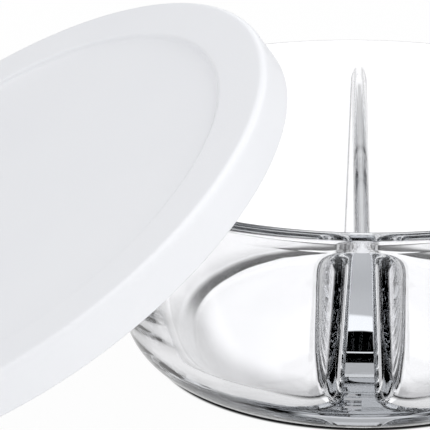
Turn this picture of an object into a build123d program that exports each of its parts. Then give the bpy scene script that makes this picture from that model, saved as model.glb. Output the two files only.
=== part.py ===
"""Round two-compartment glass dish with its press-on lid, the lid off and leaning on the rim.

Millimetres, +Z up. The origin is the centre of the dish's foot, on the table, and the divider
runs along Y. The dish is one pressed-glass piece and the lid is one moulded plastic piece.
"""
from math import atan2, cos, radians, sin, sqrt, tan
from build123d import *
import os

# dish, outside
rim_radius = 90.0
dish_height = 72.0
wall_lean = 18.8            # degrees from the vertical, leaning out towards the rim
heel_radius = 19.0          # rounding from the wall into the foot
lip_round = 1.8             # both edges of the rim

# dish, inside
rim_thickness = 4.0         # across the lip, level
inner_lean = 22.5           # more than outside, so the wall thickens downwards
floor_thickness = 9.0
inner_heel_radius = 11.0

# foot, the flat ring that the dish stands on, around a shallow hollow in the base, with two
# notches facing each other across the ring under each end of the divider
hollow_edge = 38.0          # where the hollow's slope would meet the table if it weren't rounded
hollow_radius = 20.0        # the level middle of the hollow
hollow_rise = 0.6
hollow_round = 250.0        # blends the gentle slope into the level at both ends
notch_width = 2.4
notch_reach = 3.0           # from the ring's edge towards its middle
notch_height = 0.8

# divider between the two compartments
crest_drop = 6.0            # from the rim down to the divider's crest
crest_width = 4.6           # across the divider where its rounded crest begins
crest_flat = 0.6            # left flat along the very top
divider_draft = 2.0         # degrees on each side
plan_corner = 9.0           # a compartment's corner, seen from above
plan_corner_top = 3.5       # the same corner at the crest
corner_fade = 6.0           # height below the crest over which the corner tightens
floor_round = 5.0           # where the divider's side meets the floor

# lid
lid_clearance = 0.3         # between the skirt and the rim, with the lid pressed on
lid_wall = 1.4
skirt_height = 12.2
skirt_flare = 0.5           # the skirt is this much wider at its open edge than at the top
lid_edge_round = 2.2
lid_step_round = 1.2        # both bends of the step down to the panel
panel_radius = 75.4         # the sunk middle of the lid
panel_drop = 1.3
step_run = 0.9              # how far the step leans outward as it rises
bead_reach = 0.35           # how far the snap bead closes in under the rim
bead_height = 2.0
bead_lift = 1.6             # from the skirt's open edge up to the bead
open_edge_round = 0.5

# the lid's place: leaning on the rim, its lower edge on the table
lean_tilt = 32.6            # degrees between the lid and the table
lean_bearing = 199.75       # degrees from +X to the side that the lid's top faces
lean_offset = -1.0          # the lid's centre, sideways from the line of that bearing
resting_gap = 0.3           # kept between the lid and the rim that it leans on

inner_rim_radius = rim_radius - rim_thickness
crest_height = dish_height - crest_drop
lid_top_radius = rim_radius + lid_clearance + lid_wall
lid_open_radius = lid_top_radius + skirt_flare


def outer_wall_radius(z):
    """Outside of the straight wall at height z, carried on past the rounded lip that it touches."""
    lip_start = rim_radius - lip_round + lip_round / cos(radians(wall_lean))
    return lip_start - (dish_height - lip_round - z) * tan(radians(wall_lean))


def inner_wall_radius(z):
    """Inside of the straight wall at height z."""
    return inner_rim_radius - (dish_height - z) * tan(radians(inner_lean))


# the inner heel's arc touches the level floor at floor_radius and the leaning wall at inner_heel_top
inner_heel_top = floor_thickness + inner_heel_radius * (1 - sin(radians(inner_lean)))
floor_radius = inner_wall_radius(inner_heel_top) - inner_heel_radius * cos(radians(inner_lean))

# the foot ring is level between the rounding of the hollow's edge and the outer heel
hollow_slope = atan2(hollow_rise, hollow_edge - hollow_radius)
foot_inner_radius = hollow_edge + hollow_round * tan(hollow_slope / 2)
foot_outer_radius = outer_wall_radius(0) - heel_radius * tan(radians((90 - wall_lean) / 2))


def revolved(points, rounds):
    """Solid turned about Z from an outline of (radius, height) points, each corner with its own rounding."""
    outline = FilletPolyline(*[(r, 0, z) for r, z in points], radius=rounds, close=True)
    return revolve(make_face(outline), Axis.Z)


def foot_notches():
    """Four round-ended slots cut up into the foot ring: two under each end of the divider."""
    ring_edges = [(foot_inner_radius, 1), (foot_outer_radius, -1)]
    notches = []
    for end in (-1, 1):
        for edge, towards_middle in ring_edges:
            tip = edge + towards_middle * (notch_reach - notch_width / 2)
            mouth = edge - towards_middle * notch_reach
            notches.append(Pos(0, end * tip, 0) * Cylinder(notch_width / 2, notch_height * 2))
            length = abs(tip - mouth)
            notches.append(Pos(0, end * (tip + mouth) / 2, 0) * Box(notch_width, length, notch_height * 2))
    return notches


def dish_blank():
    """The glass before the compartments are pressed into it, filled up to the rim."""
    return revolved(
        [(0, hollow_rise), (hollow_radius, hollow_rise), (hollow_edge, 0),
         (outer_wall_radius(0), 0), (outer_wall_radius(dish_height), dish_height), (0, dish_height)],
        [0, hollow_round, hollow_round, heel_radius, lip_round, 0],
    )


def compartment_level(z):
    """Wall radius, divider side and plan corner of a compartment at height z."""
    wall = inner_wall_radius(z)
    if z < inner_heel_top:
        below = floor_thickness + inner_heel_radius - z
        wall = floor_radius + sqrt(max(inner_heel_radius ** 2 - below ** 2, 0))
    crest_start = crest_height - crest_width / 2
    side = crest_width / 2 + (crest_start - z) * tan(radians(divider_draft))
    if z > crest_start:
        above = min((z - crest_start) / (crest_width / 2), 1)
        side = crest_flat / 2 + (crest_width - crest_flat) / 2 * sqrt(1 - above ** 2)
    if z < floor_thickness + floor_round:
        below = floor_thickness + floor_round - z
        side += floor_round - sqrt(max(floor_round ** 2 - below ** 2, 0))
    corner = plan_corner
    if z > crest_height - corner_fade:
        above = min((z - crest_height + corner_fade) / corner_fade, 1)
        corner -= (plan_corner - plan_corner_top) * (1 - sqrt(1 - above ** 2))
    return wall, side, corner


def compartment_section(z):
    """Half-moon with two rounded corners, on the +X side, at height z."""
    wall, side, corner = compartment_level(z)
    centre = Vector(side + corner, sqrt((wall - corner) ** 2 - (side + corner) ** 2))
    outward = centre.normalized()
    bend = (outward + Vector(-1, 0)).normalized()
    on_wall = centre + outward * corner
    half = [Vector(side, centre.Y), centre + bend * corner, on_wall]
    raised = [Vector(p.X, p.Y, z) for p in half]
    mirrored = [Vector(p.X, -p.Y, z) for p in half]
    return make_face(Wire([
        ThreePointArc(*raised),
        ThreePointArc(raised[2], Vector(wall, 0, z), mirrored[2]),
        ThreePointArc(*reversed(mirrored)),
        Line(mirrored[0], raised[0]),
    ]))


def compartment_heights():
    """Levels of the sections: close together where the surface curves, further apart on the wall."""
    heel_angles = (0, 12, 24, 36, 48, 60)
    heel_levels = [floor_thickness + inner_heel_radius * (1 - cos(radians(a))) for a in heel_angles]
    fade_start = crest_height - corner_fade
    wall_levels = [inner_heel_top + (fade_start - inner_heel_top) * k / 4 for k in range(5)]
    crest_levels = [fade_start + corner_fade * sin(radians(a)) for a in (25, 45, 62, 75, 90)]
    return heel_levels + wall_levels + crest_levels


def compartment():
    """One compartment's hollow, from the floor up to the divider's crest."""
    return loft([compartment_section(z) for z in compartment_heights()])


def open_top():
    """The hollow that both compartments share above the divider."""
    above = dish_height + rim_thickness
    return revolved(
        [(0, crest_height), (inner_wall_radius(crest_height), crest_height),
         (inner_wall_radius(above), above), (0, above)],
        [0, 0, 0, 0],
    )


def divided_bowl():
    """The whole glass dish."""
    half = compartment()
    dish = dish_blank() - half - mirror(half, Plane.YZ) - open_top()
    inner_lip = dish.edges().filter_by(GeomType.CIRCLE).group_by(Axis.Z)[-1].sort_by(SortBy.RADIUS)[0]
    return fillet(inner_lip, lip_round) - foot_notches()


def lid_as_moulded():
    """The lid lying level, its open edge at z = 0 and its axis on Z."""
    under = skirt_height - lid_wall
    step = panel_radius + step_run
    bead_radius = rim_radius - bead_reach
    bead_top = bead_lift + bead_height
    inner_open = lid_open_radius - lid_wall
    inner_top = lid_top_radius - lid_wall

    def inner_skirt(z):
        return inner_open + (inner_top - inner_open) * z / under

    points = [
        (0, skirt_height - panel_drop), (panel_radius, skirt_height - panel_drop), (step, skirt_height),
        (lid_top_radius, skirt_height), (lid_open_radius, 0), (inner_open, 0),
        (inner_skirt(bead_lift), bead_lift), (bead_radius, bead_lift + bead_height / 2),
        (inner_skirt(bead_top), bead_top), (inner_top, under),
        (step, under), (panel_radius, under - panel_drop), (0, under - panel_drop),
    ]
    rounds = [
        0, lid_step_round, lid_step_round,
        lid_edge_round, open_edge_round, open_edge_round,
        0, bead_reach, 0, lid_edge_round - lid_wall,
        lid_step_round, lid_step_round, 0,
    ]
    return revolved(points, rounds)


def lid_place():
    """Where the lid's open edge lies when its rim is on the table and the dish's rim is under its panel."""
    tilt = radians(lean_tilt)
    height = lid_open_radius * sin(tilt)
    rim_support = (dish_height - lip_round) * cos(tilt) + (rim_radius - lip_round) * sin(tilt) + lip_round
    under_panel = skirt_height - panel_drop - lid_wall
    along = (rim_support + resting_gap - under_panel - height * cos(tilt)) / sin(tilt)
    return Rot(0, 0, lean_bearing) * Pos(along, lean_offset, height) * Rot(0, lean_tilt, 0)


def lid():
    """The lid leaning on the dish."""
    return lid_place() * lid_as_moulded()


if __name__ == "__main__":
    os.makedirs("parts", exist_ok=True)
    for make in (divided_bowl, lid):
        export_step(make(), f"parts/{make.__name__}.step")
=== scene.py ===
# %% [markdown]
# # A divided glass dish and its press-on lid
#
# The real object is two mouldings. The dish is one piece of pressed glass: a round bowl with a
# solid glass divider across it. The lid is one thin shell of white plastic, taken off and leaning
# on the dish's rim. The dish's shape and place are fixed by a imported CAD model, and everything
# here is built around that model, in metres, with +Z up.

from math import acos, atan2, cos, pi, radians, sin, sqrt, tan

import bmesh
import bpy
from mathutils import Matrix, Vector


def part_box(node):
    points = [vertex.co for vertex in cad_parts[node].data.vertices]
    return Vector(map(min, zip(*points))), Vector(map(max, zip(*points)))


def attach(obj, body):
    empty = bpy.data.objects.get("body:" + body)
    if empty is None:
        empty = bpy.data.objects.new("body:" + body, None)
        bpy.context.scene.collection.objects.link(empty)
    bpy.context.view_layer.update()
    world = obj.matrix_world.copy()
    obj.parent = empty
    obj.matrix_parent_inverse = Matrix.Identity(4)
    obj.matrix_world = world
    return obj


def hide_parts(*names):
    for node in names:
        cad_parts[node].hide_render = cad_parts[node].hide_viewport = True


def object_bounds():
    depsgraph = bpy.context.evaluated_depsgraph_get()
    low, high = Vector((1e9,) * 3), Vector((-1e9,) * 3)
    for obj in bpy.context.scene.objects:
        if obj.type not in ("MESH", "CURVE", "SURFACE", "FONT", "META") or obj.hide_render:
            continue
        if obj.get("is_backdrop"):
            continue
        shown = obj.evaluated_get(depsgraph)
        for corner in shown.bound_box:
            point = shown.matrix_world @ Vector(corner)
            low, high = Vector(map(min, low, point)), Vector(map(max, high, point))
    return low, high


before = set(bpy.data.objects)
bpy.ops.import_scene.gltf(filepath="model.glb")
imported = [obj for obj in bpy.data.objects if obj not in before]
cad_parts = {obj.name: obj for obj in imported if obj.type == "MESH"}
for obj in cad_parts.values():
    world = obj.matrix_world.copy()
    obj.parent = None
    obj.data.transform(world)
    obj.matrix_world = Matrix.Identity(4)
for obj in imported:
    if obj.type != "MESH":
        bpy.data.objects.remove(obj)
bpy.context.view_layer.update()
mm = 0.001
same_place = 0.001 * mm     # points closer than this are one point

# %% [markdown]
# ## Sizes
#
# A mould maker thinks of the dish as a few numbers: how wide, how high, how far the walls lean and
# how thick the glass is. All could be measured off the CAD model's mesh, but only the width and
# height are read from it. Nearly all the rest are the numbers that it was built with, written out
# where they are first needed, so that the glass is as thick as there and bends light alike.

# %% The dish's sizes
dish_low, dish_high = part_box("divided_bowl")
rim_radius = (dish_high.x - dish_low.x) / 2
dish_height = dish_high.z
print("rim radius", round(rim_radius / mm, 2), "mm, height", round(dish_height / mm, 2), "mm")

# %% The walls as straight lines of the section
wall_lean = radians(18.8)
lip_round = 1.8 * mm
rim_thickness = 4.0 * mm
inner_lean = radians(22.5)
floor_thickness = 9.0 * mm
inner_heel_radius = 11.0 * mm


def outer_wall_radius(z):
    """Outside of the straight wall at height z, carried on past the rounded lip that it touches."""
    lip_start = rim_radius - lip_round + lip_round / cos(wall_lean)
    return lip_start - (dish_height - lip_round - z) * tan(wall_lean)


def inner_wall_radius(z):
    """Inside of the straight wall at height z."""
    return rim_radius - rim_thickness - (dish_height - z) * tan(inner_lean)


inner_heel_top = floor_thickness + inner_heel_radius * (1 - sin(inner_lean))
floor_radius = inner_wall_radius(inner_heel_top) - inner_heel_radius * cos(inner_lean)
print("the flat floor ends at radius", round(floor_radius / mm, 2), "mm")

# %% [markdown]
# ## A pen for outlines
#
# The outside of the dish and the whole lid are turned shapes, so most of the work is one good
# section each. It could be a list of worked-out points, but a pen keeps it readable. The section
# is drawn the way a lathe template is: straight runs between corners, each corner with its own
# rounding. A straight run is one extruded edge, and a rounding is that edge's end spun about the
# centre of the arc. Where a run is long enough it also gets two extra points near each end. They
# hold it straight when the mesh is subdivided, and keep the light from bending across it.

# %% Draw a run and an arc


def line_to(bm, pen, x, y, z):
    """Draws a straight edge from the pen's vertex and returns the vertex at its end."""
    moved = bmesh.ops.extrude_vert_indiv(bm, verts=[pen])["verts"][0]
    moved.co = Vector((x, y, z))
    return moved


def held_line_to(bm, pen, end, hold):
    """The same, with points held near both ends where they stay clear of each other."""
    start, end = pen.co.copy(), Vector(end)
    length = (end - start).length
    marks = [m for m in (hold, 3 * hold) if 2.5 * m < length]
    shares = [m / length for m in marks] + [1 - m / length for m in reversed(marks)] + [1]
    for share in shares:
        pen = line_to(bm, pen, *start.lerp(end, share))
    return pen


def arc_to(bm, pen, centre, axis, angle, steps):
    """Spins the pen's vertex about a centre and returns the vertex at the arc's end."""
    turned = bmesh.ops.spin(bm, geom=[pen], cent=centre, axis=axis, angle=angle, steps=steps)
    return next(e for e in turned["geom_last"] if isinstance(e, bmesh.types.BMVert))


# %% Draw a whole section and spin it round
fewest_arc_steps = 3


def section(bm, corners, rounds, hold, step_angle):
    """Draws a section in the XZ plane: corners as (radius, height), each with its own rounding."""
    points = [Vector((r, 0, z)) for r, z in corners]
    pen = bm.verts.new(points[0])
    for before, here, after, rounding in zip(points, points[1:], points[2:], rounds[1:]):
        back, on = (before - here).normalized(), (after - here).normalized()
        if rounding == 0:
            pen = held_line_to(bm, pen, here, hold)
            continue
        half = acos(max(-1, min(1, back.dot(on)))) / 2
        reach = rounding / tan(half)
        centre = here + (back + on).normalized() * (rounding / sin(half))
        turn = pi - 2 * half
        side = 1 if back.cross(on).y > 0 else -1
        steps = max(fewest_arc_steps, round(turn / step_angle))
        pen = held_line_to(bm, pen, here + back * reach, hold)
        pen = arc_to(bm, pen, centre, (0, -side, 0), turn, steps)
    return held_line_to(bm, pen, points[-1], hold)


def spin_round(bm, steps):
    """Spins a section once round the Z axis into a closed skin."""
    bmesh.ops.spin(
        bm, geom=bm.verts[:] + bm.edges[:], cent=(0, 0, 0), axis=(0, 0, 1),
        angle=2 * pi, steps=steps, use_merge=True,
    )
    bmesh.ops.remove_doubles(bm, verts=bm.verts, dist=same_place)


# %% [markdown]
# ## The outside of the dish
#
# The outside runs from the middle of the base, over the flat foot ring, up the rounded heel and
# the leaning wall, over the lip and a little way down inside, to the height of the divider's
# crest. Spinning that section once round gives the whole outer skin in even quads, which bend
# light evenly. A boolean cut of one solid from another would leave long thin faces that show in
# clear glass.

# %% Spin the outer skin
heel_radius = 19.0 * mm
hollow_edge = 38.0 * mm
hollow_radius = 20.0 * mm
hollow_rise = 0.6 * mm
hollow_round = 250.0 * mm
crest_drop = 6.0 * mm
crest_height = dish_height - crest_drop
spin_steps = 144
spin_angle = 2 * pi / spin_steps
dish = bmesh.new()
section(
    dish,
    [
        (0, hollow_rise), (hollow_radius, hollow_rise), (hollow_edge, 0),
        (outer_wall_radius(0), 0), (outer_wall_radius(dish_height), dish_height),
        (rim_radius - rim_thickness, dish_height), (inner_wall_radius(crest_height), crest_height),
    ],
    [0, hollow_round, hollow_round, heel_radius, lip_round, lip_round, 0],
    hold=0.8 * mm,
    step_angle=radians(9),
)
spin_round(dish, spin_steps)
print("outer skin:", len(dish.faces), "faces")

# %% [markdown]
# ## The two compartments
#
# Seen from above, a compartment is a half-moon with two rounded corners. It changes with height:
# the wall and the divider lean, the corner tightens towards the crest, and the foot of both walls
# rounds into the floor. One extruded outline can't follow all that. So each level is drawn as a
# closed loop with the same number of points, and neighbouring loops are bridged. The top loop has
# its points where the outer skin has its own, so the two meet without a seam, and the size of its
# corners follows from that.

# %% One level of a compartment
crest_width = 4.6 * mm
crest_flat = 0.6 * mm
divider_draft = radians(2.0)
plan_corner = 9.0 * mm
corner_fade = 6.0 * mm
floor_round = 5.0 * mm
end_angle = pi / 2 - spin_angle     # the wall's arc ends one step of the spin short of +Y
top_wall = inner_wall_radius(crest_height)
plan_corner_top = (top_wall * cos(end_angle) - crest_flat / 2) / (1 + cos(end_angle))
print("a compartment's corner is", round(plan_corner_top / mm, 2), "mm at the crest")


def compartment_level(z):
    """Wall radius, divider side and plan corner of a compartment at height z."""
    wall = inner_wall_radius(z)
    if z < inner_heel_top:
        below = floor_thickness + inner_heel_radius - z
        wall = floor_radius + sqrt(max(inner_heel_radius ** 2 - below ** 2, 0))
    crest_start = crest_height - crest_width / 2
    side = crest_width / 2 + (crest_start - z) * tan(divider_draft)
    if z > crest_start:
        above = min((z - crest_start) / (crest_width / 2), 1)
        side = crest_flat / 2 + (crest_width - crest_flat) / 2 * sqrt(1 - above ** 2)
    if z < floor_thickness + floor_round:
        below = floor_thickness + floor_round - z
        side += floor_round - sqrt(max(floor_round ** 2 - below ** 2, 0))
    corner = plan_corner
    if z > crest_height - corner_fade:
        above = min((z - crest_height + corner_fade) / corner_fade, 1)
        corner -= (plan_corner - plan_corner_top) * (1 - sqrt(1 - above ** 2))
    return wall, side, corner


# %% Draw a compartment's outline
wall_steps = round(2 * end_angle / spin_angle)
corner_steps = 8
side_steps = 28


def half_moon(bm, z):
    """Draws the compartment's outline at height z and returns its edges: divider side first."""
    wall, side, corner = compartment_level(z)
    centre = Vector((side + corner, sqrt((wall - corner) ** 2 - (side + corner) ** 2), z))
    opening = atan2(centre.y, centre.x)
    drawn_before = set(bm.edges)
    first = pen = bm.verts.new((side, -centre.y, z))
    for k in range(side_steps):
        share = (1 - cos(pi * (k + 1) / side_steps)) / 2
        pen = line_to(bm, pen, side, (2 * share - 1) * centre.y, z)
    pen = arc_to(bm, pen, centre, (0, 0, -1), pi - opening, corner_steps)
    pen = arc_to(bm, pen, (0, 0, z), (0, 0, -1), 2 * opening, wall_steps)
    near_centre = Vector((centre.x, -centre.y, z))
    pen = arc_to(bm, pen, near_centre, (0, 0, -1), pi - opening, corner_steps)
    bmesh.ops.pointmerge(bm, verts=[pen, first], merge_co=first.co)
    return [e for e in bm.edges if e not in drawn_before]


# %% Stack the levels of one compartment
crest_angles = (90, 68, 46, 24, 0)
fade_shares = (0.5, 0.75, 1.0, 1.25)
wall_shares = (0.35, 0.6, 0.85, 0.95)
heel_angles = (71.5, 64, 56, 48, 40, 32, 24, 16, 8, 0)
floor_inset = 1.5 * mm

crest_levels = [crest_height - crest_width / 2 * (1 - sin(radians(a))) for a in crest_angles]
fade_levels = [crest_height - corner_fade * share for share in fade_shares]
wall_levels = [crest_height - share * (crest_height - inner_heel_top) for share in wall_shares]
heel_levels = [floor_thickness + inner_heel_radius * (1 - cos(radians(a))) for a in heel_angles]
loops = [half_moon(dish, z) for z in crest_levels + fade_levels + wall_levels + heel_levels]
pocket = [
    face for upper, lower in zip(loops, loops[1:])
    for face in bmesh.ops.bridge_loops(dish, edges=upper + lower)["faces"]
]
floor_face = bmesh.ops.contextual_create(dish, geom=loops[-1])["faces"]
floor_edge = bmesh.ops.inset_region(dish, faces=floor_face, thickness=floor_inset)["faces"]
pocket += floor_face + floor_edge
print("one compartment:", len(pocket), "faces from", len(loops), "levels")

# %% [markdown]
# ## The divider's crest
#
# The second compartment is the mirror image of the first. Between their top loops lies the crest,
# a narrow strip that runs from wall to wall. One long face would close the gap, but a face with
# so many corners shades unevenly. Bridging the two loops' divider sides makes small quads, and
# one cut along their middle lets the strip meet the outer skin's own points at both ends.

# %% Mirror the compartment and bridge the crest
pocket_verts = {v for face in pocket for v in face.verts}
pocket_edges = {e for face in pocket for e in face.edges}
bmesh.ops.mirror(
    dish, geom=list(pocket_verts) + list(pocket_edges) + pocket,
    matrix=Matrix.Identity(4), merge_dist=-1, axis="X",
)
crest_reach = plan_corner_top + crest_flat
crest_rims = [
    e for e in dish.edges
    if e.is_boundary and all(abs(v.co.z - crest_height) < same_place for v in e.verts)
    and all(abs(v.co.x) < crest_reach for v in e.verts)
    and not all(abs(v.co.xy.length - top_wall) < same_place for v in e.verts)
]
crest = bmesh.ops.bridge_loops(dish, edges=crest_rims)
crossings = [e for e in crest["edges"] if e.verts[0].co.x * e.verts[1].co.x < 0]
halved = bmesh.ops.subdivide_edges(dish, edges=crossings, cuts=1)["geom_inner"]
middle = [v for v in halved if isinstance(v, bmesh.types.BMVert)]
for outermost in (min, max):
    tip = outermost(middle, key=lambda v: v.co.y)
    tip.co.y = top_wall * (1 if tip.co.y > 0 else -1)
bmesh.ops.remove_doubles(dish, verts=dish.verts, dist=2 * same_place)
bmesh.ops.recalc_face_normals(dish, faces=dish.faces)
open_edges = [e for e in dish.edges if e.is_boundary]
print("crest:", len(crossings), "cross edges,", len(open_edges), "edges left open")

# %% [markdown]
# ## One skin
#
# Above its foot the glass has no sharp bend. Bevels or more loops could round the bends, but one
# level of subdivision rounds them all at once, and the crest flows into the wall in a smooth
# saddle.

# %% Make the dish piece


def new_piece(name, bm, body, node):
    """A smooth mesh object from bm that rides with a body and stands for a CAD node."""
    for face in bm.faces:
        face.smooth = True
    mesh = bpy.data.meshes.new(name)
    bm.to_mesh(mesh)
    bm.free()
    piece = bpy.data.objects.new(name, mesh)
    bpy.context.scene.collection.objects.link(piece)
    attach(piece, body)
    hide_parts(node)
    print(name, "has", len(mesh.polygons), "faces")
    return piece


dish_piece = new_piece("glass_dish", dish, "bowl", "divided_bowl")
smoothing = dish_piece.modifiers.new("one skin", "SUBSURF")
smoothing.levels = smoothing.render_levels = 1

# %% [markdown]
# ## Notches in the foot
#
# Under each end of the divider the flat foot ring has two small round-ended slots that face each
# other across it. They are a reading of two little bows that the photograph shows through the
# divider's end. A slot is a sharp cut in a flat face, so this one place is a boolean: a cutter is
# drawn with the same pen as the sections, and the result is kept as a plain mesh.

# %% Draw the four slots
notch_width = 2.4 * mm
notch_reach = 3.0 * mm
notch_height = 0.8 * mm
foot_slope = atan2(hollow_rise, hollow_edge - hollow_radius)
foot_inner_radius = hollow_edge + hollow_round * tan(foot_slope / 2)
foot_outer_radius = outer_wall_radius(0) - heel_radius * tan((pi / 2 - wall_lean) / 2)
slot_tip_steps = 12


def draw_slot(bm, mouth, tip):
    """A slot along Y from its square mouth to its round tip, standing through the table's plane."""
    way = 1 if tip > mouth else -1
    half, low = notch_width / 2, -notch_height
    tip -= way * half
    drawn_before = set(bm.edges)
    first = bm.verts.new((-way * half, mouth, low))
    pen = line_to(bm, first, -way * half, tip, low)
    pen = arc_to(bm, pen, (0, tip, low), (0, 0, -1), pi, slot_tip_steps)
    pen = line_to(bm, pen, way * half, mouth, low)
    bmesh.ops.contextual_create(bm, geom=[pen, first])
    outline = [e for e in bm.edges if e not in drawn_before]
    face = bmesh.ops.contextual_create(bm, geom=outline)["faces"]
    raised = bmesh.ops.extrude_face_region(bm, geom=face)["geom"]
    top = [g for g in raised if isinstance(g, bmesh.types.BMVert)]
    bmesh.ops.translate(bm, verts=top, vec=(0, 0, 2 * notch_height))


slots = bmesh.new()
for end in (-1, 1):
    for edge, inward in ((foot_inner_radius, 1), (foot_outer_radius, -1)):
        reach = inward * notch_reach
        draw_slot(slots, end * (edge - reach), end * (edge + reach))
bmesh.ops.recalc_face_normals(slots, faces=slots.faces)
print("slots:", len(slots.faces), "faces")

# %% Cut them and keep the result as a plain mesh
sharp_bend = radians(35)    # bends sharper than this stay sharp in the shading
slot_mesh = bpy.data.meshes.new("foot_slots")
slots.to_mesh(slot_mesh)
slots.free()
cutter = bpy.data.objects.new("foot_slots", slot_mesh)
bpy.context.scene.collection.objects.link(cutter)
cut = dish_piece.modifiers.new("foot slots", "BOOLEAN")
cut.object = cutter
cut.operation = "DIFFERENCE"
cut.solver = "EXACT"
evaluated = dish_piece.evaluated_get(bpy.context.evaluated_depsgraph_get())
finished = bpy.data.meshes.new_from_object(evaluated)
dish_piece.modifiers.clear()
rough_mesh = dish_piece.data
dish_piece.data = finished
finished.name = rough_mesh.name
bpy.data.meshes.remove(rough_mesh)
bpy.data.objects.remove(cutter)
bpy.data.meshes.remove(slot_mesh)
finished.set_sharp_from_angle(angle=sharp_bend)
print("dish:", len(finished.polygons), "faces")

# %% [markdown]
# ## The lid
#
# The lid is one thin moulded shell: a flat ring around a shallow sunk panel, a rounded shoulder,
# and a short skirt with a small bead inside that snaps under the dish's lip. It is a turned shape
# with a wall of even thickness, so its whole section is drawn once, outside and inside, and spun.
# A solidify modifier would do for a plain shell, but not for the bead and the two step bends.

# %% The lid's sizes
lid_clearance = 0.3 * mm
lid_wall = 1.4 * mm
skirt_height = 12.2 * mm
skirt_flare = 0.5 * mm
lid_top_radius = rim_radius + lid_clearance + lid_wall
lid_open_radius = lid_top_radius + skirt_flare
lid_edge_round = 2.2 * mm
lid_step_round = 1.2 * mm
panel_radius = 75.4 * mm
panel_drop = 1.3 * mm
step_run = 0.9 * mm
bead_reach = 0.35 * mm
bead_height = 2.0 * mm
bead_lift = 1.6 * mm
open_edge_round = 0.5 * mm
print("lid radius", round(lid_open_radius / mm, 2), "mm at its open edge")

# %% Spin the lid
lid_spin_steps = 240
under = skirt_height - lid_wall
step_radius = panel_radius + step_run
inner_open = lid_open_radius - lid_wall
inner_top = lid_top_radius - lid_wall
bead_top = bead_lift + bead_height


def inner_skirt(z):
    """Inside radius of the skirt at height z."""
    return inner_open + (inner_top - inner_open) * z / under


lid = bmesh.new()
section(
    lid,
    [
        (0, skirt_height - panel_drop), (panel_radius, skirt_height - panel_drop),
        (step_radius, skirt_height), (lid_top_radius, skirt_height),
        (lid_open_radius, 0), (inner_open, 0), (inner_skirt(bead_lift), bead_lift),
        (rim_radius - bead_reach, bead_lift + bead_height / 2),
        (inner_skirt(bead_top), bead_top), (inner_top, under),
        (step_radius, under), (panel_radius, under - panel_drop), (0, under - panel_drop),
    ],
    [
        0, lid_step_round, lid_step_round, lid_edge_round, open_edge_round, open_edge_round,
        0, bead_reach, 0, lid_edge_round - lid_wall, lid_step_round, lid_step_round, 0,
    ],
    hold=0.6 * mm,
    step_angle=radians(12),
)
spin_round(lid, lid_spin_steps)
bmesh.ops.recalc_face_normals(lid, faces=lid.faces)
print("lid skin:", len(lid.faces), "faces")

# %% [markdown]
# ## The lid's place
#
# The lid's lower edge stands on the table and its panel leans on the dish's rim. It could be
# turned by eye, but would then float or cut in. So its place is worked out from those two
# contacts, and goes into the mesh, so that the object itself stays at the origin as every piece
# of this model does.

# %% Lean the lid on the dish
lean_tilt = radians(32.6)
lean_bearing = radians(199.75)
lean_offset = -1.0 * mm
resting_gap = 0.3 * mm
open_height = lid_open_radius * sin(lean_tilt)
lip_high, lip_wide = dish_height - lip_round, rim_radius - lip_round
rim_support = lip_high * cos(lean_tilt) + lip_wide * sin(lean_tilt) + lip_round
under_panel = skirt_height - panel_drop - lid_wall
panel_height = rim_support + resting_gap - under_panel
lean_reach = (panel_height - open_height * cos(lean_tilt)) / sin(lean_tilt)
place = (
    Matrix.Rotation(lean_bearing, 4, "Z")
    @ Matrix.Translation((lean_reach, lean_offset, open_height))
    @ Matrix.Rotation(lean_tilt, 4, "Y")
)
bmesh.ops.transform(lid, matrix=place, verts=lid.verts)
lid_piece = new_piece("press_on_lid", lid, "lid", "lid")

# %% [markdown]
# ## Glass
#
# Pressed glass is clear and smooth, but not flat: the plunger leaves faint ripples that break up
# the reflections at the divider's ends. Its mass is very slightly blue-green. Where the surface
# turns away from view, its colour is darkened to near black: painted shade that helps to draw
# dark outlines like those of bright-field lighting. A plain glass shader has none of these, so this
# is a tree of nodes: its colour darkens with how far the surface faces away, the ripples are a weak
# bump, and an absorbing volume tints the thick parts. For shadows the glass counts as clear,
# because the straight ray that looks for a lamp would stop at it. Most helpers make one node, join
# it to what it works on and return its output, so that the cells read as recipes.

# %% Start a material


def shader(name):
    """A new material with its nodes, its links and its Principled node."""
    material = bpy.data.materials.new(name)
    material.use_nodes = True
    nodes = material.node_tree.nodes
    return material, nodes, material.node_tree.links, nodes["Principled BSDF"]


# %% Noise, bump and colour


def noise_node(nodes, links, scale, detail=2.0):
    """Noise on the piece's own metres."""
    node = nodes.new("ShaderNodeTexNoise")
    node.inputs["Scale"].default_value = scale
    node.inputs["Detail"].default_value = detail
    links.new(nodes.new("ShaderNodeTexCoord").outputs["Object"], node.inputs["Vector"])
    return node.outputs["Fac"]


def bump_node(nodes, links, height, strength, distance):
    """A normal that a height disturbs."""
    node = nodes.new("ShaderNodeBump")
    node.inputs["Strength"].default_value = strength
    node.inputs["Distance"].default_value = distance
    links.new(height, node.inputs["Height"])
    return node.outputs["Normal"]


def colour_ramp(nodes, links, factor, low, low_colour, high, high_colour):
    """A ramp between two colours."""
    node = nodes.new("ShaderNodeValToRGB")
    first, last = node.color_ramp.elements
    first.position, first.color = low, low_colour + (1,)
    last.position, last.color = high, high_colour + (1,)
    links.new(factor, node.inputs["Fac"])
    return node.outputs["Color"]


# %% Tell rays apart and mix two shaders


def ray_is(nodes, kind):
    """One for rays of a kind, such as Camera, else zero."""
    return nodes.new("ShaderNodeLightPath").outputs[f"Is {kind} Ray"]


def mix_shaders(nodes, links, factor, first, last):
    """Sends a mix of two shaders to the material's surface."""
    node = nodes.new("ShaderNodeMixShader")
    links.new(factor, node.inputs["Fac"])
    links.new(first, node.inputs[1])
    links.new(last, node.inputs[2])
    links.new(node.outputs["Shader"], nodes["Material Output"].inputs["Surface"])


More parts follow.
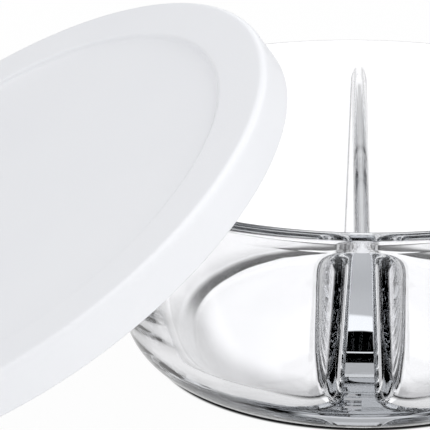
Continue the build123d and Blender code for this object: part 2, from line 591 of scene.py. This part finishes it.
# %% Make the glass
glass, nodes, links, clear = shader("clear pressed glass")
clear.inputs["Roughness"].default_value = 0.0
clear.inputs["IOR"].default_value = 1.5
clear.inputs["Transmission Weight"].default_value = 1
# Painted shade: where the surface turns away from view, the glass colour goes near black and draws
# dark outlines.
facing = nodes.new("ShaderNodeLayerWeight").outputs["Facing"]
painted_outline_shade = colour_ramp(
    nodes, links, facing, 0.68, (0.99, 0.99, 1.0), 0.95, (0.03, 0.03, 0.035),
)
links.new(painted_outline_shade, clear.inputs["Base Color"])
waves = noise_node(nodes, links, scale=30)
ripples = bump_node(nodes, links, waves, strength=0.1, distance=0.6 * mm)
links.new(ripples, clear.inputs["Normal"])
thin = nodes.new("ShaderNodeBsdfTransparent")
mix_shaders(nodes, links, ray_is(nodes, "Shadow"), clear.outputs["BSDF"], thin.outputs["BSDF"])
mass = nodes.new("ShaderNodeVolumeAbsorption")
mass.inputs["Color"].default_value = (0.0, 0.05, 0.12, 1)
mass.inputs["Density"].default_value = 4.0
links.new(mass.outputs["Volume"], nodes["Material Output"].inputs["Volume"])
dish_piece.data.materials.append(glass)
print("glass bends light by", clear.inputs["IOR"].default_value)

# %% [markdown]
# ## Plastic
#
# The lid is white plastic with a cool cast and a soft satin gloss. Up close such a moulding isn't
# even: the melt leaves faint clouds in colour and gloss, and the mould's fine grain scatters the
# highlights. One flat colour and gloss would miss both, so two noises make them: a wide one for
# colour and roughness and a fine one for the bump.

# %% Make the plastic


def range_node(nodes, links, value, low, high, at_low=0.0, at_high=1.0):
    """The value's way from low to high, given as a number from at_low to at_high."""
    node = nodes.new("ShaderNodeMapRange")
    node.inputs["From Min"].default_value = low
    node.inputs["From Max"].default_value = high
    node.inputs["To Min"].default_value = at_low
    node.inputs["To Max"].default_value = at_high
    links.new(value, node.inputs["Value"])
    return node.outputs["Result"]


plastic, nodes, links, moulded = shader("white moulded plastic")
clouds = noise_node(nodes, links, scale=22, detail=4)
cast = colour_ramp(nodes, links, clouds, 0.3, (0.855, 0.865, 0.897), 0.7, (0.865, 0.875, 0.903))
links.new(cast, moulded.inputs["Base Color"])
gloss = range_node(nodes, links, clouds, 0, 1, at_low=0.32, at_high=0.4)
links.new(gloss, moulded.inputs["Roughness"])
fine_noise = noise_node(nodes, links, scale=1400)
grain = bump_node(nodes, links, fine_noise, strength=0.15, distance=0.2 * mm)
links.new(grain, moulded.inputs["Normal"])
lid_piece.data.materials.append(plastic)
print("plastic:", len(nodes), "nodes")

# %% [markdown]
# ## The camera
#
# The photograph seems to be taken with a long lens from about a metre away, looking down by some
# twenty degrees along the divider, close enough that the dish and the lid run out of the frame.
# A camera could be placed by eye, but the outlines of rim, base and lid say more. Several fits
# match them about equally well, and this is one of those.

# %% Camera
eye = Vector((-0.01164, -0.98636, 0.41116))
look_down = 0.3559
look_aside = 0.0322
camera = bpy.data.objects.new("camera", bpy.data.cameras.new("camera"))
camera.data.lens = 293.0
camera.data.sensor_width = 36
camera.location = eye
camera.rotation_euler = (pi / 2 - look_down, 0, look_aside)
camera.data.clip_start = 0.05
camera.data.clip_end = 20
bpy.context.scene.collection.objects.link(camera)
bpy.context.scene.camera = camera
print("camera", round(eye.length, 2), "m from the middle of the foot")

# %% [markdown]
# ## The table
#
# The dish seems to stand on a white lit table before a background that was made white. A plain
# white floor could stand for it, but clear glass hardly shows against white alone. So the table
# looks different by the way it is seen. Seen directly it is plain white, with a painted contact
# shadow where the heel nearly touches it, and a small share of it stays ordinary white board, which
# keeps the lid's soft shadow. Seen through the glass it is a lit panel with limits, and with shade
# painted into its light: a painted contact shadow where the heel nearly touches it, painted shade
# that makes it dimmer under the dish's front, and a painted grey shadow of the divider. It is dark
# in a strip in front, and dark again half a metre out, until it is lit from a metre on.

# %% Lay the table
table_half_size = 15
table_top = bmesh.new()
bmesh.ops.create_grid(table_top, x_segments=2, y_segments=2, size=table_half_size)
table_mesh = bpy.data.meshes.new("table")
table_top.to_mesh(table_mesh)
table_top.free()
table = bpy.data.objects.new("table", table_mesh)
bpy.context.scene.collection.objects.link(table)
table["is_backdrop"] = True
print("table:", 2 * table_half_size, "m across")

# %% The table's board and places on it


def distance_node(nodes, links, point, centre):
    """A point's distance from a centre."""
    node = nodes.new("ShaderNodeVectorMath")
    node.operation = "DISTANCE"
    node.inputs[1].default_value = centre
    links.new(point, node.inputs[0])
    return node.outputs["Value"]


paper, nodes, links, board = shader("white lit table")
board.inputs["Base Color"].default_value = (0.8, 0.8, 0.8, 1)
board.inputs["Roughness"].default_value = 1
board.inputs["Specular IOR Level"].default_value = 0
on_table = nodes.new("ShaderNodeTexCoord").outputs["Object"]
parts = nodes.new("ShaderNodeSeparateXYZ")
links.new(on_table, parts.inputs["Vector"])
table_x, table_y = parts.outputs["X"], parts.outputs["Y"]
from_middle = distance_node(nodes, links, on_table, (0, 0, 0))
from_front_centre = distance_node(nodes, links, on_table, (0, 12 * mm, 0))
from_contact_centre = distance_node(nodes, links, on_table, (0, 3 * mm, 0))
print("table's board and places:", len(nodes), "nodes")

# %% Steps of grey and mixes


def grey_ramp(nodes, links, factor, stops):
    """A grey ramp with eased steps through the (position, value) stops."""
    node = nodes.new("ShaderNodeValToRGB")
    node.color_ramp.interpolation = "EASE"
    elements = node.color_ramp.elements
    elements.remove(elements[-1])
    elements[0].position, elements[0].color = stops[0][0], (stops[0][1],) * 3 + (1,)
    for position, value in stops[1:]:
        elements.new(position).color = (value,) * 3 + (1,)
    links.new(factor, node.inputs["Fac"])
    return node.outputs["Color"]


def feed(links, socket, value):
    """Joins a socket to a node's output, or sets it to a plain value."""
    if isinstance(value, bpy.types.NodeSocket):
        links.new(value, socket)
    else:
        socket.default_value = value


def mix_node(nodes, links, kind, factor, first, last):
    """A mix of two numbers or colours, each a value or a socket."""
    node = nodes.new("ShaderNodeMix")
    node.data_type = kind
    links.new(factor, node.inputs["Factor"])
    feed(links, node.inputs["A"], first)
    feed(links, node.inputs["B"], last)
    return node.outputs["Result"]


# %% The light under the dish
near_span = 120 * mm    # radius that the ramps round the foot run over
# Painted contact shadow as the glass sees the table: dark from 53 mm out, light again by about 72
# mm.
painted_heel_shadow = grey_ramp(
    nodes, links, range_node(nodes, links, from_middle, 0, near_span),
    [(0, 1.0), (0.436, 1.0), (0.442, 0.0), (0.465, 0.05), (0.505, 0.85), (0.6, 1.0)],
)
# Painted shade under the dish's overhanging front, as the glass sees the table: dimmer beyond about
# 44 mm.
painted_shade_under_front = grey_ramp(
    nodes, links, range_node(nodes, links, from_front_centre, 0, near_span),
    [(0, 1.0), (0.37, 1.0), (0.46, 0.56), (0.6, 0.7), (1.0, 0.75)],
)
backward = grey_ramp(
    nodes, links, range_node(nodes, links, table_y, -5 * mm, 25 * mm), [(0, 0), (1, 1)],
)
# Painted shade under the dish: the front's shade towards the front, the heel's painted shadow
# towards the back.
painted_shade_under_dish = mix_node(nodes, links, "FLOAT", backward, painted_shade_under_front, painted_heel_shadow)
print("with the light under the dish:", len(nodes), "nodes")

# %% The divider's shadow


def math_node(nodes, links, operation, *values):
    """One operation on numbers or sockets."""
    node = nodes.new("ShaderNodeMath")
    node.operation = operation
    for socket, value in zip(node.inputs, values):
        feed(links, socket, value)
    return node.outputs["Value"]


shadow_depth = grey_ramp(
    nodes, links, range_node(nodes, links, table_y, -40 * mm, 140 * mm),
    [(0, 0.0), (0.06, 0.0), (0.14, 0.45), (0.74, 0.45), (0.76, 0.0)],
)
half_width = range_node(nodes, links, table_y, 60 * mm, 100 * mm, 4.5 * mm, 12 * mm)
beside = math_node(
    nodes, links, "DIVIDE", math_node(nodes, links, "ABSOLUTE", table_x), half_width,
)
under_divider = grey_ramp(nodes, links, beside, [(0.75, 1), (1.0, 0)])
divider_shadow = math_node(
    nodes, links, "SUBTRACT", 1,
    math_node(nodes, links, "MULTIPLY", shadow_depth, under_divider),
)
print("with the divider's shadow:", len(nodes), "nodes")

# %% The table's limits, and all of it together
far_span = 4.0          # radius that the wide ramp runs over, further out nothing changes
in_front = grey_ramp(
    nodes, links, range_node(nodes, links, table_y, -150 * mm, -50 * mm),
    [(0, 1.0), (0.2, 1.0), (0.3, 0.0), (0.865, 0.0), (0.935, 1.0)],
)
further_out = grey_ramp(
    nodes, links, range_node(nodes, links, from_middle, 0, far_span),
    [
        (0, 1.0), (0.125, 1.0), (0.13, 0.0), (0.248, 0.0),
        (0.254, 1.5), (0.375, 1.5), (0.42, 0.8), (1.0, 0.75),
    ],
)
# The panel's light as the glass sees it, with the painted shadows of heel, front and divider in it.
lit = math_node(nodes, links, "MAXIMUM", painted_shade_under_dish, under_divider)
for layer in (in_front, divider_shadow, further_out):
    lit = math_node(nodes, links, "MULTIPLY", lit, layer)
# Painted contact shadow as the camera sees the table: black within about 61 mm of the middle, which
# shows as a thin dark line along the heel.
painted_contact_shadow = grey_ramp(
    nodes, links, range_node(nodes, links, from_contact_centre, 0, near_span),
    [(0.508, 0.0), (0.517, 1.0)],
)
print("with the table's limits:", len(nodes), "nodes")

# %% Tell what the glass sees


def seen_through_glass(nodes, links):
    """One for rays that left the glass or plastic by reflection or refraction, else zero."""
    reflected, refracted = ray_is(nodes, "Glossy"), ray_is(nodes, "Transmission")
    return math_node(nodes, links, "MAXIMUM", reflected, refracted)


# %% Give the table its light
white = (1, 1, 1, 1)
panel_strength = 1.27   # of the lit panel, as the glass sees it
direct_share = 0.97     # of the glow, as the camera sees it, the rest is board
glass_sees = seen_through_glass(nodes, links)
camera_sees = ray_is(nodes, "Camera")
strength = math_node(
    nodes, links, "MAXIMUM",
    math_node(nodes, links, "MULTIPLY", camera_sees, painted_contact_shadow),
    math_node(
        nodes, links, "MULTIPLY",
        math_node(nodes, links, "MULTIPLY", glass_sees, lit), panel_strength,
    ),
)
glow = nodes.new("ShaderNodeEmission")
glow.inputs["Color"].default_value = white
links.new(strength, glow.inputs["Strength"])
glow_share = math_node(
    nodes, links, "MAXIMUM", glass_sees,
    math_node(nodes, links, "MULTIPLY", camera_sees, direct_share),
)
mix_shaders(nodes, links, glow_share, board.outputs["BSDF"], glow.outputs["Emission"])
table.data.materials.append(paper)
print("table light:", len(nodes), "nodes")

# %% [markdown]
# ## The studio around the table
#
# Glass is drawn by what it reflects and bends into view, so a photographer stands dark and white
# cards around it. They could be planes, but those would also change the light on the lid. So they
# are bands of the world that only gloss and glass see. Above the table the studio is dark, with a
# narrow white card low before and behind the dish and a wide one overhead. The dark helps to give
# the near rim and the divider's ends their dark outlines. Plain surfaces are lit by an even grey,
# and the camera sees white.

# %% Light the studio
studio_grey = (0.69, 0.69, 0.69, 1)
world = bpy.data.worlds.new("studio")
bpy.context.scene.world = world
world.use_nodes = True
nodes, links = world.node_tree.nodes, world.node_tree.links
direction = nodes.new("ShaderNodeSeparateXYZ")
links.new(nodes.new("ShaderNodeTexCoord").outputs["Generated"], direction.inputs["Vector"])
low_card = grey_ramp(
    nodes, links, direction.outputs["Z"],
    [(0.0, 0.0), (0.085, 0.0), (0.09, 0.8), (0.3, 0.8), (0.36, 1.2), (0.49, 1.2), (0.51, 0.0)],
)
card_width = grey_ramp(
    nodes, links, math_node(nodes, links, "ABSOLUTE", direction.outputs["X"]),
    [(0.0, 1.0), (0.14, 1.0), (0.22, 0.0)],
)
overhead = grey_ramp(nodes, links, direction.outputs["Z"], [(0.905, 0.0), (0.915, 1.0)])
cards = math_node(
    nodes, links, "ADD", math_node(nodes, links, "MULTIPLY", low_card, card_width), overhead,
)
for_glass = mix_node(
    nodes, links, "RGBA", seen_through_glass(nodes, links), studio_grey, cards,
)
for_camera = mix_node(nodes, links, "RGBA", ray_is(nodes, "Camera"), for_glass, white)
links.new(for_camera, nodes["Background"].inputs["Color"])
print("studio:", len(nodes), "nodes")

# %% [markdown]
# ## The lamps
#
# The even grey lights the lid nearly enough by itself. Three soft lamps, which show in no
# reflection or refraction, give it form: one overhead, one at the far right that shades the step
# around the sunk panel, and one in front for the skirt.

# %% Hang the lamps
lamp_aim = (-0.1, 0, 0.05)


def lamp(name, size, power, location):
    """A square area lamp that points at the lid and doesn't show in the glass."""
    light = bpy.data.objects.new(name, bpy.data.lights.new(name, "AREA"))
    light.data.size = size
    light.data.energy = power
    light.location = location
    aim = Vector(lamp_aim) - light.location
    light.rotation_euler = aim.to_track_quat("-Z", "Y").to_euler()
    light.visible_transmission = False
    light.visible_glossy = False
    bpy.context.scene.collection.objects.link(light)
    print(name, "of", power, "W")


lamp("overhead lamp", size=1.2, power=6, location=(-0.6, -0.2, 1.3))
lamp("side lamp", size=0.6, power=5, location=(0.75, 0.5, 1.0))
lamp("front lamp", size=0.8, power=6.5, location=(0.9, -1.3, 0.35))

# %% [markdown]
# ## Light paths and sizes
#
# A ray crosses many glass surfaces in the divider's ends before it gets out, so the bounce limits
# are high. The last cell prints the box of the pieces that render, the table left out.

# %% Light paths and view
scene = bpy.context.scene
scene.view_settings.view_transform = "Standard"
scene.cycles.max_bounces = 32
scene.cycles.transmission_bounces = 32
scene.cycles.glossy_bounces = 16
scene.cycles.transparent_max_bounces = 16
scene.cycles.caustics_reflective = True
scene.cycles.caustics_refractive = True
print("light may bounce", scene.cycles.max_bounces, "times")

# %% Box of the rendered pieces
visual_box = [[round(c / mm, 1) for c in corner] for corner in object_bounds()]
print("visual box in mm:", visual_box)
